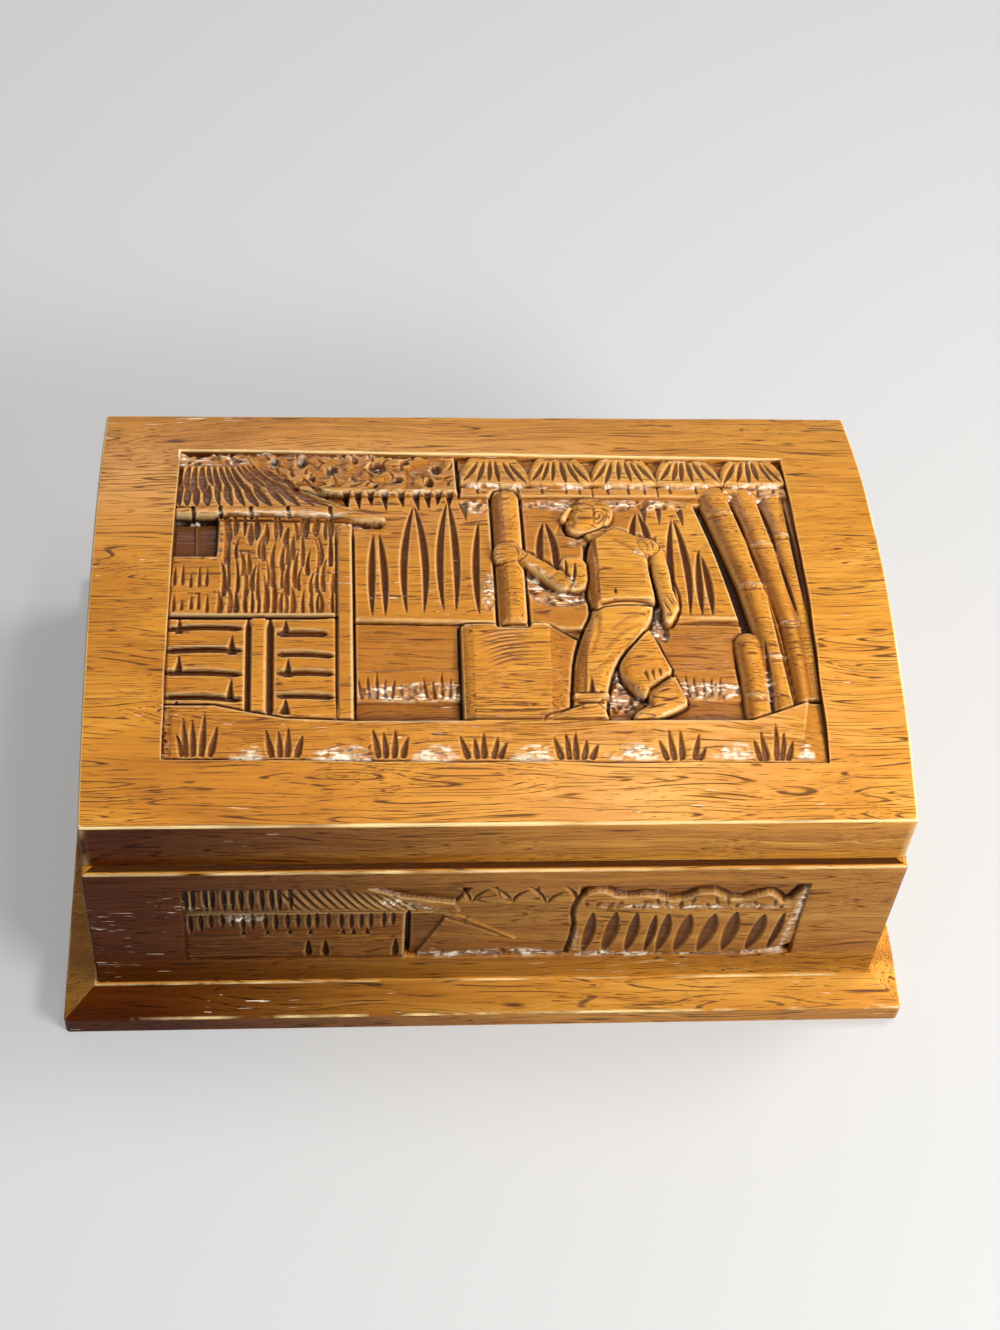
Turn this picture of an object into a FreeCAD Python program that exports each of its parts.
import FreeCAD, Part
import math
import os

# Carved wooden keepsake box with a domed lid on two brass butt hinges.
#
# Millimetres, +Z up, +X to the right along the length and -Y to the front. The origin is the middle
# of the underside of the base board. A solid base board carries four mitred walls, and the lid is
# one thick plank with a crowned top. The lid's top and the front wall each have a sunk carved panel.

# Body: four mitred walls
body_length = 234.0
body_width = 156.0
wall_height = 60.5
wall_thickness = 12.0
wall_top_arris = 0.8
wall_corner_arris = 0.6
wall_inner_arris = 0.4

# Base board, with a bevel that rises to a narrow ledge round the foot of the walls
base_overhang = 10.0
base_thickness = 12.0
base_edge_height = 6.8
base_ledge = 0.8
base_corner_radius = 1.5
base_arris = 0.6

# Lid plank
lid_front_setback = 3.0
lid_side_setback = 0.5
lid_edge_height = 19.5
lid_crown = 12.5
lid_top_arris = 0.8
lid_lower_arris = 0.4

# Carved panel of the lid: border widths in plan, and depths below the domed face
lid_border_left = 22.8
lid_border_right = 24.2
lid_border_front = 17.8
lid_border_back = 21.2
lid_panel_depth = 3.7
scene_near_depth = 0.5
scene_middle_depth = 1.4
scene_far_depth = 2.7
scene_shadow_depth = 4.8
scene_leaf_depth = 3.5
scene_leaf_width = 2.4
scene_hut_groove_depth = 2.3
scene_groove_width = 1.8

# Carved panel of the front wall: border widths, and depths below the wall's face
front_border_side = 26.5
front_border_foot = 12.0
front_border_top = 9.5
front_panel_depth = 2.4
front_near_depth = 0.6
front_middle_depth = 1.0
front_far_depth = 1.4
front_leaf_depth = 2.0
front_leaf_width = 3.6
front_groove_depth = 1.5
front_groove_width = 1.8

# Butt hinges, with the pin's axis in the plane between the walls and the lid
hinge_end_distance = 52.0
hinge_axis_inset = 3.0
hinge_length = 26.0
hinge_centre_knuckle = 10.0
hinge_knuckle_gap = 0.15
hinge_barrel_radius = 2.25
hinge_pin_radius = 1.1
hinge_pin_clearance = 0.05
hinge_leaf_margin = 1.0
hinge_leaf_thickness = 1.0
hinge_leaf_clearance = 0.1
hinge_barrel_clearance = 0.35
hinge_open_angle = 100.0
hinge_stop_margin = 1.0

# Hinge screws
hinge_screw_end_distance = 5.0
hinge_screw_shank_radius = 1.0
hinge_screw_head_radius = 2.0
hinge_screw_length = 8.0
hinge_screw_slot_width = 0.5
hinge_screw_slot_depth = 0.4

# Base screws, driven up through the base board into the walls
base_screw_long_spacing = 140.0
base_screw_short_spacing = 80.0
base_screw_shank_radius = 1.75
base_screw_head_radius = 3.5
base_screw_length = 30.0
base_screw_sink = 0.5
base_screw_slot_length = 4.0
base_screw_slot_width = 0.9
base_screw_slot_depth = 1.0

# Brads, driven from the end walls through the mitres
brad_radius = 0.7
brad_head_radius = 1.1
brad_head_thickness = 0.7
brad_length = 20.0
brad_sink = 0.3
brad_end_distance = 14.0

# Worked out from the sizes above
X_AXIS = FreeCAD.Vector(1, 0, 0)
Z_AXIS = FreeCAD.Vector(0, 0, 1)
half_length = body_length / 2
half_width = body_width / 2
joint_z = base_thickness + wall_height
lid_half_length = half_length - lid_side_setback
lid_front_y = lid_front_setback - half_width
lid_back_y = half_width
lid_middle_y = (lid_front_y + lid_back_y) / 2
lid_half_width = (lid_back_y - lid_front_y) / 2
dome_radius = (lid_half_width ** 2 + lid_crown ** 2) / (2 * lid_crown)
dome_axis_z = joint_z + lid_edge_height + lid_crown - dome_radius
dome_level_spread = math.radians(30)
hinge_y = half_width - hinge_axis_inset
hinge_groove_radius = hinge_barrel_radius + hinge_barrel_clearance
hinge_leaf_reach = wall_thickness - hinge_axis_inset - hinge_leaf_margin
hinge_screw_y = hinge_y - (hinge_groove_radius + hinge_leaf_reach) / 2
stop_bevel_angle = math.radians((hinge_open_angle + hinge_stop_margin) / 2)
hinge_xs = {"left": hinge_end_distance - half_length, "right": half_length - hinge_end_distance}
beyond = body_length + body_width


def prism(outline, low, high):
    """Upright prism on a closed outline of (x, y) points, between two heights."""
    points = [FreeCAD.Vector(x, y, low) for x, y in outline]
    face = Part.Face(Part.makePolygon(points + points[:1]))
    return face.extrude(FreeCAD.Vector(0, 0, high - low))


def profile_along_x(outline, start, end):
    """Solid whose section is a closed outline of (y, z) points, from x = start to x = end."""
    points = [FreeCAD.Vector(start, y, z) for y, z in outline]
    face = Part.Face(Part.makePolygon(points + points[:1]))
    return face.extrude(FreeCAD.Vector(end - start, 0, 0))


def rectangle(half_x, half_y):
    """Corners of a rectangle about the origin."""
    return [(-half_x, -half_y), (half_x, -half_y), (half_x, half_y), (-half_x, half_y)]


def rounded(shape, radius, chosen):
    """The shape with a fillet on each edge that a test of its middle point and its span accepts."""
    edges = []
    for edge in shape.Edges:
        first = edge.valueAt(edge.FirstParameter)
        last = edge.valueAt(edge.LastParameter)
        if chosen(edge.CenterOfMass, last - first):
            edges.append(edge)
    return shape.makeFillet(radius, edges)


def upright(span):
    """Whether an edge's direction leans mostly along Z."""
    return abs(span.z) > abs(span.x) + abs(span.y)


def cylinder_x(radius, start, end, y, z):
    """Cylinder along X between two x places."""
    return Part.makeCylinder(radius, end - start, FreeCAD.Vector(start, y, z), X_AXIS)


def flat_head_screw(shank_radius, head_radius, length):
    """Countersunk screw at the origin: its flat head faces -Z and its point is at z = length."""
    head_height = head_radius - shank_radius
    point_height = 2 * shank_radius
    head = Part.makeCone(head_radius, shank_radius, head_height)
    shank_height = length - head_height - point_height
    shank = Part.makeCylinder(shank_radius, shank_height, FreeCAD.Vector(0, 0, head_height))
    tip_place = FreeCAD.Vector(0, 0, length - point_height)
    tip = Part.makeCone(shank_radius, shank_radius / 4, point_height, tip_place)
    return head.fuse([shank, tip]).removeSplitter()


def slot(reach, width, depth, angle):
    """Driver slot in a screw head that faces -Z at the origin, turned about Z, reaching out both ways."""
    corner = FreeCAD.Vector(-reach, -width / 2, -depth)
    cutter = Part.makeBox(2 * reach, width, 2 * depth, corner)
    cutter.rotate(FreeCAD.Vector(), Z_AXIS, angle)
    return cutter


def placed(shape, place, pointing):
    """A copy of a shape made along +Z, turned to point the given way and moved to its place."""
    copy = shape.copy()
    copy.Placement = FreeCAD.Placement(place, FreeCAD.Rotation(Z_AXIS, pointing))
    return copy


# Base board


def bevel_wedge(reach):
    """Wedge over the +X side of a board that reaches this far, from its upright edge to the ledge."""
    foot = reach - base_overhang + base_ledge
    outline = [(reach, base_edge_height), (reach, base_thickness), (foot, base_thickness)]
    points = [FreeCAD.Vector(x, -beyond, z) for x, z in outline]
    face = Part.Face(Part.makePolygon(points + points[:1]))
    return face.extrude(FreeCAD.Vector(0, 2 * beyond, 0))


def make_base_board():
    """Board with upright edges, a bevel on all four sides and countersunk holes for the base screws."""
    outer_x = half_length + base_overhang
    outer_y = half_width + base_overhang
    board = prism(rectangle(outer_x, outer_y), 0, base_thickness)
    board = rounded(board, base_corner_radius, lambda middle, span: upright(span))
    cuts = []
    for angle, reach in ((0, outer_x), (90, outer_y), (180, outer_x), (270, outer_y)):
        wedge = bevel_wedge(reach)
        wedge.rotate(FreeCAD.Vector(), Z_AXIS, angle)
        cuts.append(wedge)
    board = board.cut(cuts)

    def under_bevel(middle, span):
        """Whether an edge lies between an upright edge face and the bevel over it."""
        return base_edge_height - 1e-6 < middle.z < base_edge_height + base_corner_radius

    board = rounded(board, base_arris, under_bevel)
    return board.cut(list(base_screw_holes().values()))


# Base screws


def base_screw_places():
    """Places of the screws in the middle of each wall's thickness, by name."""
    long_y = half_width - wall_thickness / 2
    short_x = half_length - wall_thickness / 2
    half_long = base_screw_long_spacing / 2
    half_short = base_screw_short_spacing / 2
    spots = {
        "front_left": (-half_long, -long_y),
        "front_right": (half_long, -long_y),
        "back_left": (-half_long, long_y),
        "back_right": (half_long, long_y),
        "left_front": (-short_x, -half_short),
        "left_back": (-short_x, half_short),
        "right_front": (short_x, -half_short),
        "right_back": (short_x, half_short),
    }
    return {name: FreeCAD.Vector(x, y, base_screw_sink) for name, (x, y) in spots.items()}


def base_screw_blank():
    """Base screw with no driver recess."""
    return flat_head_screw(base_screw_shank_radius, base_screw_head_radius, base_screw_length)


def base_screw_holes():
    """Space that each base screw takes in the base board and its wall."""
    below_head = FreeCAD.Vector(0, 0, -base_screw_sink)
    way_in = Part.makeCylinder(base_screw_head_radius, base_screw_sink, below_head)
    space = base_screw_blank().fuse(way_in).removeSplitter()
    return {name: placed(space, place, Z_AXIS) for name, place in base_screw_places().items()}


def make_base_screws():
    """Steel screws with a cross recess."""
    screws = {}
    turn = 20
    for name, place in base_screw_places().items():
        screw = base_screw_blank()
        for angle in (turn, turn + 90):
            arm = base_screw_slot_length / 2
            screw = screw.cut(slot(arm, base_screw_slot_width, base_screw_slot_depth, angle))
        screws["base_screw_" + name] = placed(screw, place, Z_AXIS)
        turn += 35
    return screws


# Brads


def brad_places():
    """Place on an end wall's face and driving direction of each brad, by name."""
    wall_y = half_width - wall_thickness / 2
    low = base_thickness + brad_end_distance
    high = joint_z - brad_end_distance
    places = {}
    for side, x, inward in (("left", -half_length, X_AXIS), ("right", half_length, -X_AXIS)):
        for corner, y in (("front", -wall_y), ("back", wall_y)):
            for level, z in (("low", low), ("high", high)):
                place = FreeCAD.Vector(x, y, z)
                places["_".join((side, corner, level))] = (place, inward)
    return places


def brad_blank(way_in):
    """Brad below a face at z = 0, with the punched hole above its head when way_in is true."""
    head = Part.makeCylinder(brad_head_radius, brad_head_thickness, FreeCAD.Vector(0, 0, brad_sink))
    point_height = 2 * brad_radius
    shank_height = brad_length - point_height
    shank = Part.makeCylinder(brad_radius, shank_height, FreeCAD.Vector(0, 0, brad_sink))
    tip_place = FreeCAD.Vector(0, 0, brad_sink + shank_height)
    tip = Part.makeCone(brad_radius, brad_radius / 4, point_height, tip_place)
    pieces = [shank, tip]
    if way_in:
        pieces.append(Part.makeCylinder(brad_head_radius, brad_sink))
    return head.fuse(pieces).removeSplitter()


def make_brads(way_in):
    """Each brad, or the space that it takes in the walls when way_in is true."""
    blank = brad_blank(way_in)
    return {"brad_" + name: placed(blank, *place) for name, place in brad_places().items()}


# Hinges


def hinge_spans():
    """Stretches along X, from the hinge's middle, of the body leaf's and the lid leaf's knuckles."""
    inner = hinge_centre_knuckle / 2
    outer = hinge_length / 2
    body = [(-outer, -inner - hinge_knuckle_gap), (inner + hinge_knuckle_gap, outer)]
    return body, [(-inner, inner)]


def hinge_screw_places(x, side):
    """Head places of one leaf's screws: side is -1 for the leaf in the wall and 1 for the lid's."""
    reach = hinge_length / 2 - hinge_screw_end_distance
    z = joint_z + side * hinge_leaf_clearance
    return [FreeCAD.Vector(x + end * reach, hinge_screw_y, z) for end in (-1, 1)]


def hinge_screw_blank():
    """Hinge screw with no driver slot."""
    return flat_head_screw(hinge_screw_shank_radius, hinge_screw_head_radius, hinge_screw_length)


def leaf_block(x, side, length, reach):
    """Plate between the joint plane's clearance and the leaf's far face, from the axis inwards."""
    low = joint_z + side * hinge_leaf_clearance
    high = low + side * hinge_leaf_thickness
    outline = [(hinge_y - reach, low), (hinge_y, low), (hinge_y, high), (hinge_y - reach, high)]
    return profile_along_x(outline, x - length / 2, x + length / 2)


def make_leaf(x, side):
    """Hinge leaf with its knuckles, its bore and its countersunk holes."""
    body_spans, lid_spans = hinge_spans()
    own, other = (body_spans, lid_spans) if side < 0 else (lid_spans, body_spans)
    leaf = leaf_block(x, side, hinge_length, hinge_leaf_reach)
    clear = []
    for start, end in other:
        start -= hinge_knuckle_gap
        end += hinge_knuckle_gap
        clear.append(cylinder_x(hinge_groove_radius, x + start, x + end, hinge_y, joint_z))
    leaf = leaf.cut(clear)
    for start, end in own:
        leaf = leaf.fuse(cylinder_x(hinge_barrel_radius, x + start, x + end, hinge_y, joint_z))
    bore = hinge_pin_radius + hinge_pin_clearance
    leaf = leaf.cut(cylinder_x(bore, x - hinge_length, x + hinge_length, hinge_y, joint_z))
    away = side * Z_AXIS
    holes = [placed(hinge_screw_blank(), place, away) for place in hinge_screw_places(x, side)]
    return leaf.cut(holes).removeSplitter()


def leaf_space(x, side):
    """Mortise, barrel groove and screw holes that one leaf needs in its board."""
    length = hinge_length + 2 * hinge_leaf_clearance
    plate = leaf_block(x, side, length, hinge_leaf_reach + hinge_leaf_clearance)
    mouth = plate.copy()
    mouth.translate(FreeCAD.Vector(0, 0, -side * hinge_leaf_clearance))
    half_groove = hinge_length / 2 + hinge_barrel_clearance
    groove = cylinder_x(hinge_groove_radius, x - half_groove, x + half_groove, hinge_y, joint_z)
    away = side * Z_AXIS
    holes = [placed(hinge_screw_blank(), place, away) for place in hinge_screw_places(x, side)]
    return plate.fuse([mouth, groove] + holes).removeSplitter()


def stop_bevel(side):
    """Wedge cut off a board's back arris, along the plane that stops the open lid."""
    drop = side * 2 * hinge_axis_inset * math.tan(stop_bevel_angle)
    past = hinge_y + 2 * hinge_axis_inset
    outline = [(hinge_y, joint_z), (past, joint_z + drop), (past, joint_z - side), (hinge_y, joint_z - side)]
    return profile_along_x(outline, -body_length, body_length)


def make_hinges():
    """Leaves, pins and slotted brass screws of both hinges."""
    pieces = {}
    turn = 15
    for name, x in hinge_xs.items():
        half = hinge_length / 2
        pieces["hinge_pin_" + name] = cylinder_x(hinge_pin_radius, x - half, x + half, hinge_y, joint_z)
        for board, side in (("body", -1), ("lid", 1)):
            pieces["hinge_" + board + "_leaf_" + name] = make_leaf(x, side)
            for number, place in enumerate(hinge_screw_places(x, side), 1):
                cut = slot(hinge_screw_head_radius, hinge_screw_slot_width, hinge_screw_slot_depth, turn)
                screw = hinge_screw_blank().cut(cut)
                label = "_".join(("hinge_screw", board, name, str(number)))
                pieces[label] = placed(screw, place, side * Z_AXIS)
                turn += 50
    return pieces


# Walls


def wall_ring():
    """The four walls as one ring, with rounded corners and upper edges."""
    outer = prism(rectangle(half_length, half_width), base_thickness, joint_z)
    outer = rounded(outer, wall_corner_arris, lambda middle, span: upright(span))
    outer = rounded(outer, wall_top_arris, lambda middle, span: abs(middle.z - joint_z) < 1e-6)
    room_x = half_length - wall_thickness
    room_y = half_width - wall_thickness
    room = prism(rectangle(room_x, room_y), base_thickness, joint_z)
    mouth_sections = []
    for spread, z in ((0, joint_z - wall_inner_arris), (wall_inner_arris, joint_z)):
        points = [FreeCAD.Vector(x, y, z) for x, y in rectangle(room_x + spread, room_y + spread)]
        mouth_sections.append(Part.makePolygon(points + points[:1]))
    mouth = Part.makeLoft(mouth_sections, True, True)
    return outer.cut([room, mouth])


def mitre_wedges():
    """Prism round each wall whose ends lie in the mitre planes, by name."""
    reach = 2 * wall_thickness
    out_x = half_length + wall_thickness
    out_y = half_width + wall_thickness
    in_x = out_x - reach
    in_y = out_y - reach
    front = [(-out_x, -out_y), (out_x, -out_y), (in_x, -in_y), (-in_x, -in_y)]
    right = [(out_x, -out_y), (out_x, out_y), (in_x, in_y), (in_x, -in_y)]
    outlines = {
        "front_wall": front,
        "back_wall": [(-x, -y) for x, y in front],
        "right_wall": right,
        "left_wall": [(-x, -y) for x, y in right],
    }
    return {name: prism(outline, 0, joint_z + wall_height) for name, outline in outlines.items()}


def leaf_cut(start, end, half_width):
    """Outline of a cut shaped like a leaf: it runs from one point to another and is widest halfway."""
    run = end[0] - start[0]
    rise = end[1] - start[1]
    length = math.hypot(run, rise)
    aside = (half_width * rise / length, half_width * run / length)
    middle = ((start[0] + end[0]) / 2, (start[1] + end[1]) / 2)
    right = (middle[0] + aside[0], middle[1] - aside[1])
    left = (middle[0] - aside[0], middle[1] + aside[1])
    return [start, right, end, left]


def front_carving():
    """Sunk panel of the front wall: what is cut away round and in the hut, the field and the hedge."""
    left = front_border_side - half_length
    right = half_length - front_border_side
    low = base_thickness + front_border_foot
    high = joint_z - front_border_top
    wide = right - left
    tall = high - low

    def place(across, up):
        """Place on the wall's face that is given as shares of the panel."""
        return (left + across * wide, low + up * tall)

    def slab(start, end, outline):
        """Slab on an outline of places on the wall's face, between two depths from it."""
        points = [FreeCAD.Vector(x, start - half_width, z) for x, z in outline]
        face = Part.Face(Part.makePolygon(points + points[:1]))
        return face.extrude(FreeCAD.Vector(0, end - start, 0))

    def mass(depth, *corners):
        """Raised mass from a depth down into the wall, on corners given as shares of the panel."""
        return slab(depth, wall_thickness, [place(*corner) for corner in corners])

    def cut(depth, width, start, end):
        """Leaf-shaped cut from the wall's face down to a depth, between two shares of the panel."""
        return slab(-depth, depth, leaf_cut(place(*start), place(*end), width / 2))

    sunk = slab(0, front_panel_depth, [place(0, 0), place(1, 0), place(1, 1), place(0, 1)])
    hut = mass(front_near_depth, (0, 0), (0.36, 0), (0.36, 0.68), (0, 0.68))
    thatch = mass(front_near_depth, (0, 0.7), (0.43, 0.7), (0.35, 0.87), (0.26, 1), (0, 1))
    field = mass(front_far_depth, (0.37, 0), (0.62, 0), (0.62, 0.68), (0.37, 0.68))
    treetops = mass(front_middle_depth, (0.44, 0.74), (0.62, 0.7), (0.62, 1), (0.47, 1))
    hedge_top = [(1, 0.8), (0.95, 0.88), (0.88, 0.78), (0.84, 0.92), (0.77, 0.75), (0.67, 0.92), (0.64, 0.68)]
    hedge = mass(front_near_depth, (0.64, 0), (1, 0), *hedge_top)
    cuts = [sunk.cut([hut, thatch, field, treetops, hedge])]
    for across in (0.665, 0.7, 0.735, 0.77, 0.805, 0.84, 0.875, 0.91, 0.95):
        cuts.append(cut(front_leaf_depth, front_leaf_width, (across, 0.06), (across, 0.56)))
    for up in (0.06, 0.2, 0.33):
        cuts.append(cut(front_groove_depth, front_groove_width, (0.01, up), (0.34, up)))
    for across in (0.04, 0.09, 0.14, 0.19, 0.24, 0.29):
        cuts.append(cut(front_groove_depth, front_groove_width, (across - 0.02, 0.98), (across, 0.73)))
        cuts.append(cut(front_groove_depth, front_groove_width, (across, 0.66), (across, 0.42)))
    return cuts


def make_walls():
    """Mitred walls with their screw and brad holes, the hinge mortises and the front panel."""
    ring = wall_ring()
    cuts = list(base_screw_holes().values())
    cuts += list(make_brads(True).values())
    cuts += [leaf_space(x, -1) for x in hinge_xs.values()]
    cuts += [stop_bevel(-1), *front_carving()]
    ring = ring.cut(cuts)
    return {name: ring.common(wedge) for name, wedge in mitre_wedges().items()}


# Lid


def lid_blank():
    """Plank with a crowned top and rounded edges."""
    edge_top = joint_z + lid_edge_height
    front_low = FreeCAD.Vector(-lid_half_length, lid_front_y, joint_z)
    front_high = FreeCAD.Vector(-lid_half_length, lid_front_y, edge_top)
    crown = FreeCAD.Vector(-lid_half_length, lid_middle_y, edge_top + lid_crown)
    back_high = FreeCAD.Vector(-lid_half_length, lid_back_y, edge_top)
    back_low = FreeCAD.Vector(-lid_half_length, lid_back_y, joint_z)
    edges = [
        Part.makeLine(front_low, front_high),
        Part.Arc(front_high, crown, back_high).toShape(),
        Part.makeLine(back_high, back_low),
        Part.makeLine(back_low, front_low),
    ]
    plank = Part.Face(Part.Wire(edges)).extrude(FreeCAD.Vector(2 * lid_half_length, 0, 0))
    plank = rounded(plank, lid_top_arris, lambda middle, span: middle.z > joint_z + 1e-6)

    def low_but_back(middle, span):
        """Whether an edge lies round the underside but not along the hinges."""
        return abs(middle.z - joint_z) < 1e-6 and middle.y < lid_back_y - 1e-6

    return rounded(plank, lid_lower_arris, low_but_back)


def dome_level(depth):
    """Solid under a face that lies the given depth below the lid's domed face."""
    radius = dome_radius - depth
    reach_y = radius * math.sin(dome_level_spread)
    reach_z = radius * math.cos(dome_level_spread)
    front = FreeCAD.Vector(-half_length, lid_middle_y - reach_y, dome_axis_z + reach_z)
    crown = FreeCAD.Vector(-half_length, lid_middle_y, dome_axis_z + radius)
    back = FreeCAD.Vector(-half_length, lid_middle_y + reach_y, dome_axis_z + reach_z)
    edges = [Part.Arc(front, crown, back).toShape(), Part.makeLine(back, front)]
    return Part.Face(Part.Wire(edges)).extrude(FreeCAD.Vector(body_length, 0, 0))


def lid_carving():
    """Sunk panel of the lid: what is cut away round and in the raised masses of the village scene."""
    left = lid_border_left - lid_half_length
    right = lid_half_length - lid_border_right
    front = lid_front_y + lid_border_front
    back = lid_back_y - lid_border_back
    wide = right - left
    tall = back - front
    low = joint_z + lid_edge_height / 2
    high = joint_z + lid_edge_height + 2 * lid_crown

    def upright_prism(outline):
        """Prism through the lid's top on an outline given as shares of the panel."""
        return prism([(left + across * wide, front + up * tall) for across, up in outline], low, high)

    def masses(depth, *outlines):
        """Raised masses topped at a depth below the dome, on outlines given as shares of the panel."""
        prisms = [upright_prism(outline) for outline in outlines]
        joined = prisms[0].fuse(prisms[1:]).removeSplitter()
        return joined.common(dome_level(depth))

    def cuts(depth, width, *lines):
        """Leaf-shaped cuts down to a depth below the dome, along lines given as shares of the panel."""
        found = []
        for line in lines:
            start, end = [(left + across * wide, front + up * tall) for across, up in line]
            found.append(prism(leaf_cut(start, end, width / 2), low, high).cut(dome_level(depth)))
        return found

    def fan(across):
        """Outline of one palm leaf of the eave about its middle."""
        half = 0.051
        lower = [(across - half, 0.862), (across + half, 0.862), (across + 0.9 * half, 0.93)]
        return lower + [(across + 0.65 * half, 1), (across - 0.65 * half, 1), (across - 0.9 * half, 0.93)]

    fans = [0.518, 0.625, 0.731, 0.838, 0.946]
    near = masses(
        scene_near_depth,
        # Path, which rises at both ends
        [(0, 0), (1, 0), (1, 0.15), (0.98, 0.15), (0.89, 0.105), (0.29, 0.105), (0.07, 0.15), (0, 0.15)],
        # Pole under the eave of the hut
        [(0, 0.752), (0.26, 0.745), (0.33, 0.727), (0.33, 0.745), (0.26, 0.777), (0, 0.785)],
        # Mortar and pestle
        [(0.45, 0.1), (0.618, 0.1), (0.63, 0.345), (0.582, 0.385), (0.45, 0.385)],
        [(0.51, 0.38), (0.553, 0.38), (0.554, 0.846), (0.511, 0.846)],
        # Figure bent over the mortar: head, trunk, arm, fist and front leg
        [(0.638, 0.725), (0.665, 0.695), (0.697, 0.715), (0.705, 0.77), (0.68, 0.813), (0.643, 0.796)],
        [(0.657, 0.44), (0.758, 0.46), (0.753, 0.568), (0.77, 0.646), (0.7, 0.718), (0.654, 0.66)],
        [(0.507, 0.58), (0.552, 0.576), (0.595, 0.515), (0.66, 0.506), (0.66, 0.6), (0.507, 0.648)],
        [(0.656, 0.45), (0.756, 0.453), (0.748, 0.396), (0.697, 0.3), (0.672, 0.1), (0.574, 0.1), (0.62, 0.2)],
        # Leaning and upright bamboo
        [(0.85, 0.84), (0.902, 0.84), (0.937, 0.515), (0.96, 0.125), (0.926, 0.12), (0.893, 0.515)],
        [(0.875, 0.338), (0.92, 0.338), (0.922, 0.11), (0.882, 0.1)],
        *[fan(across) for across in fans],
    )
    middle = masses(
        scene_middle_depth,
        # Thatch and the leaves behind it
        [(0, 0.778), (0.288, 0.778), (0.232, 0.845), (0.457, 0.845), (0.457, 1), (0, 1)],
        # Hut under its pole
        [(0, 0.11), (0.283, 0.11), (0.283, 0.76), (0, 0.76)],
        # Laths under the palm leaves
        [(0.462, 0.836), (1, 0.836), (1, 0.87), (0.462, 0.87)],
        # Back leg and hanging arm of the figure
        [(0.73, 0.41), (0.776, 0.243), (0.796, 0.155), (0.708, 0.094), (0.708, 0.18), (0.692, 0.24)],
        [(0.757, 0.63), (0.783, 0.6), (0.796, 0.466), (0.775, 0.378), (0.76, 0.515)],
        # Two more stalks of bamboo
        [(0.908, 0.84), (0.946, 0.84), (0.976, 0.515), (0.995, 0.14), (0.962, 0.13), (0.938, 0.515)],
        [(0.954, 0.84), (0.995, 0.84), (0.995, 0.45), (0.982, 0.515)],
    )
    far = masses(
        scene_far_depth,
        # Fence of spear leaves on both sides of the mortar
        [(0.283, 0.4), (0.512, 0.395), (0.512, 0.845), (0.283, 0.845)],
        [(0.553, 0.38), (0.889, 0.4), (0.86, 0.62), (0.838, 0.81), (0.838, 0.836), (0.553, 0.836)],
    )
    outline = [(0, 0), (1, 0), (1, 1), (0, 1)]
    panel = upright_prism(outline).cut(dome_level(lid_panel_depth))
    shadow = [(0.838, 0.815), (0.865, 0.62), (0.888, 0.38), (0.9, 0.39), (0.89, 0.515), (0.852, 0.815)]
    carving = [panel.cut(near).cut(middle).cut(far)]
    carving.append(upright_prism(shadow).cut(dome_level(scene_shadow_depth)))
    window = [(0, 0.61), (0.071, 0.61), (0.071, 0.745), (0, 0.745)]
    carving.append(upright_prism(window).cut(dome_level(scene_far_depth)))
    carving += cuts(
        scene_leaf_depth,
        scene_leaf_width,
        # Leaves of the fence, each left between two cuts
        ((0.313, 0.42), (0.318, 0.7)),
        ((0.333, 0.42), (0.327, 0.7)),
        ((0.367, 0.42), (0.382, 0.8)),
        ((0.394, 0.42), (0.387, 0.8)),
        ((0.424, 0.43), (0.436, 0.81)),
        ((0.446, 0.43), (0.442, 0.81)),
        ((0.48, 0.42), (0.488, 0.75)),
        ((0.586, 0.6), (0.591, 0.75)),
        ((0.605, 0.6), (0.596, 0.75)),
        ((0.8, 0.49), (0.802, 0.76)),
        ((0.815, 0.42), (0.807, 0.76)),
        ((0.833, 0.42), (0.838, 0.64)),
    )
    # Split boards and posts of the hut
    for start, end in ((0.01, 0.115), (0.165, 0.245)):
        for up in (0.175, 0.24, 0.3, 0.36):
            carving += cuts(scene_hut_groove_depth, scene_groove_width, ((start, up), (end, up)))
    for across in (0.123, 0.156):
        carving += cuts(scene_far_depth, scene_groove_width, ((across, 0.12), (across, 0.4)))
    # Woven wall and thatch
    for across in (0.09, 0.116, 0.142, 0.168, 0.194, 0.22, 0.246):
        carving += cuts(scene_hut_groove_depth, scene_groove_width, ((across, 0.42), (across, 0.73)))
        carving += cuts(scene_hut_groove_depth, scene_groove_width, ((across / 2, 0.95), (across, 0.8)))
    # Folds of the palm leaves
    for across in fans:
        for turn in (-0.035, -0.012, 0.012, 0.035):
            fold = ((across + turn, 0.87), (across + turn / 2, 0.97))
            carving += cuts(scene_middle_depth, scene_groove_width, fold)
    return carving


def make_lid():
    """Crowned plank with its carved panel, its hinge mortises and the bevel that stops it open."""
    cuts = [leaf_space(x, 1) for x in hinge_xs.values()]
    cuts += [stop_bevel(1), *lid_carving()]
    return lid_blank().cut(cuts)


# All pieces


def make_pieces():
    """Every piece of the box, by node name."""
    pieces = {"base_board": make_base_board(), "lid_board": make_lid()}
    pieces.update(make_walls())
    pieces.update(make_hinges())
    pieces.update(make_base_screws())
    pieces.update(make_brads(False))
    return pieces


os.makedirs("parts", exist_ok=True)
for node, shape in make_pieces().items():
    print(node, "valid" if shape.isValid() else "NOT VALID", len(shape.Solids), round(shape.Volume, 1))
    shape.exportStep("parts/" + node + ".step")
